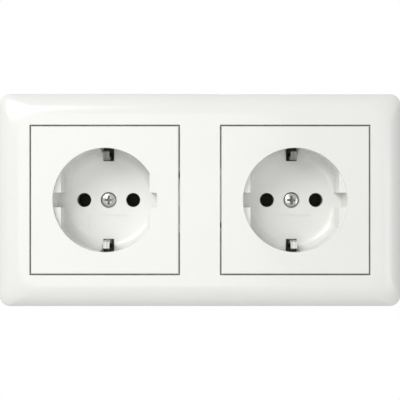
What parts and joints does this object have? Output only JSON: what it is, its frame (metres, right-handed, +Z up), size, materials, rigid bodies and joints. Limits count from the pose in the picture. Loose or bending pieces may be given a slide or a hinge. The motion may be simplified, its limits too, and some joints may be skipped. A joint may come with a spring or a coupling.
{
  "type": "double wall socket",
  "caption": "Double flush wall socket: earthed round-well plates side by side in a frame with a rolled edge, on steel support rings with claws and push-in terminals.",
  "frame": {"origin": "on the wall surface, midway between the two sockets", "axes": "+X right and +Z up as seen from the front, +Y into the wall"},
  "size_m": [0.151, 0.0421, 0.0798],
  "materials": {
    "white_plastic": "smooth gloss thermoplastic, alpine white",
    "dark_plastic": "fine-grained dark grey moulding",
    "zinc_steel": "zinc plated sheet steel",
    "plated_screw": "bright plated steel",
    "brass": "bare stamped brass",
    "spring_steel": "bright spring steel, rolled surface",
    "grey_plastic": "mid grey moulding"
  },
  "bodies": {
    "root": {"cover_frame": "white_plastic", "left_center_plate": "white_plastic", "left_center_screw": "plated_screw", "left_support_ring": "zinc_steel", "left_socket_base": "dark_plastic", "left_live_contact": "brass", "left_neutral_contact": "brass", "left_earth_bracket": "spring_steel", "left_live_clamp_spring": "spring_steel", "left_neutral_clamp_spring": "spring_steel", "left_earth_clamp_spring": "spring_steel", "right_center_plate": "white_plastic", "right_center_screw": "plated_screw", "right_support_ring": "zinc_steel", "right_socket_base": "dark_plastic", "right_live_contact": "brass", "right_neutral_contact": "brass", "right_earth_bracket": "spring_steel", "right_live_clamp_spring": "spring_steel", "right_neutral_clamp_spring": "spring_steel", "right_earth_clamp_spring": "spring_steel"},
    "left_live_release_button": {"left_live_release_button": "grey_plastic"},
    "left_neutral_release_button": {"left_neutral_release_button": "grey_plastic"},
    "left_earth_release_button": {"left_earth_release_button": "grey_plastic"},
    "left_left_claw": {"left_left_claw": "zinc_steel"},
    "left_right_claw": {"left_right_claw": "zinc_steel"},
    "left_left_claw_screw": {"left_left_claw_screw": "plated_screw"},
    "left_right_claw_screw": {"left_right_claw_screw": "plated_screw"},
    "right_live_release_button": {"right_live_release_button": "grey_plastic"},
    "right_neutral_release_button": {"right_neutral_release_button": "grey_plastic"},
    "right_earth_release_button": {"right_earth_release_button": "grey_plastic"},
    "right_left_claw": {"right_left_claw": "zinc_steel"},
    "right_right_claw": {"right_right_claw": "zinc_steel"},
    "right_left_claw_screw": {"right_left_claw_screw": "plated_screw"},
    "right_right_claw_screw": {"right_right_claw_screw": "plated_screw"}
  },
  "joints": [
    {"name": "left_right_claw_screw_turn", "type": "hinge", "parent": "root", "child": "left_right_claw_screw", "pos_m": [-0.01037, 0, 0.00945], "axis": [0, 1, 0], "range_deg": [0, 754]},
    {"name": "left_right_claw_swing", "type": "hinge", "parent": "root", "child": "left_right_claw", "pos_m": [-0.01417, 0.0036, 0.00945], "axis": [0, 0, -1], "range_deg": [0, 16]},
    {"name": "left_left_claw_screw_turn", "type": "hinge", "parent": "root", "child": "left_left_claw_screw", "pos_m": [-0.06063, 0, -0.00945], "axis": [0, 1, 0], "range_deg": [0, 754]},
    {"name": "left_left_claw_swing", "type": "hinge", "parent": "root", "child": "left_left_claw", "pos_m": [-0.05683, 0.0036, -0.00945], "axis": [0, 0, 1], "range_deg": [0, 16]},
    {"name": "left_live_release_button_push", "type": "slide", "parent": "root", "child": "left_live_release_button", "axis": [0, -1, 0], "range_m": [0, 0.0015], "stiffness_N_per_m": 300},
    {"name": "left_neutral_release_button_push", "type": "slide", "parent": "root", "child": "left_neutral_release_button", "axis": [0, -1, 0], "range_m": [0, 0.0015], "stiffness_N_per_m": 300},
    {"name": "left_earth_release_button_push", "type": "slide", "parent": "root", "child": "left_earth_release_button", "axis": [0, -1, 0], "range_m": [0, 0.0015], "stiffness_N_per_m": 300},
    {"name": "right_right_claw_screw_turn", "type": "hinge", "parent": "root", "child": "right_right_claw_screw", "pos_m": [0.06063, 0, 0.00945], "axis": [0, 1, 0], "range_deg": [0, 754]},
    {"name": "right_right_claw_swing", "type": "hinge", "parent": "root", "child": "right_right_claw", "pos_m": [0.05683, 0.0036, 0.00945], "axis": [0, 0, -1], "range_deg": [0, 16]},
    {"name": "right_left_claw_screw_turn", "type": "hinge", "parent": "root", "child": "right_left_claw_screw", "pos_m": [0.01037, 0, -0.00945], "axis": [0, 1, 0], "range_deg": [0, 754]},
    {"name": "right_left_claw_swing", "type": "hinge", "parent": "root", "child": "right_left_claw", "pos_m": [0.01417, 0.0036, -0.00945], "axis": [0, 0, 1], "range_deg": [0, 16]},
    {"name": "right_live_release_button_push", "type": "slide", "parent": "root", "child": "right_live_release_button", "axis": [0, -1, 0], "range_m": [0, 0.0015], "stiffness_N_per_m": 300},
    {"name": "right_neutral_release_button_push", "type": "slide", "parent": "root", "child": "right_neutral_release_button", "axis": [0, -1, 0], "range_m": [0, 0.0015], "stiffness_N_per_m": 300},
    {"name": "right_earth_release_button_push", "type": "slide", "parent": "root", "child": "right_earth_release_button", "axis": [0, -1, 0], "range_m": [0, 0.0015], "stiffness_N_per_m": 300}
  ],
  "couplings": [
    {"joint": "left_right_claw_swing", "follows": "left_right_claw_screw_turn", "ratio": 0.0212},
    {"joint": "left_left_claw_swing", "follows": "left_left_claw_screw_turn", "ratio": 0.0212},
    {"joint": "right_right_claw_swing", "follows": "right_right_claw_screw_turn", "ratio": 0.0212},
    {"joint": "right_left_claw_swing", "follows": "right_left_claw_screw_turn", "ratio": 0.0212}
  ]
}
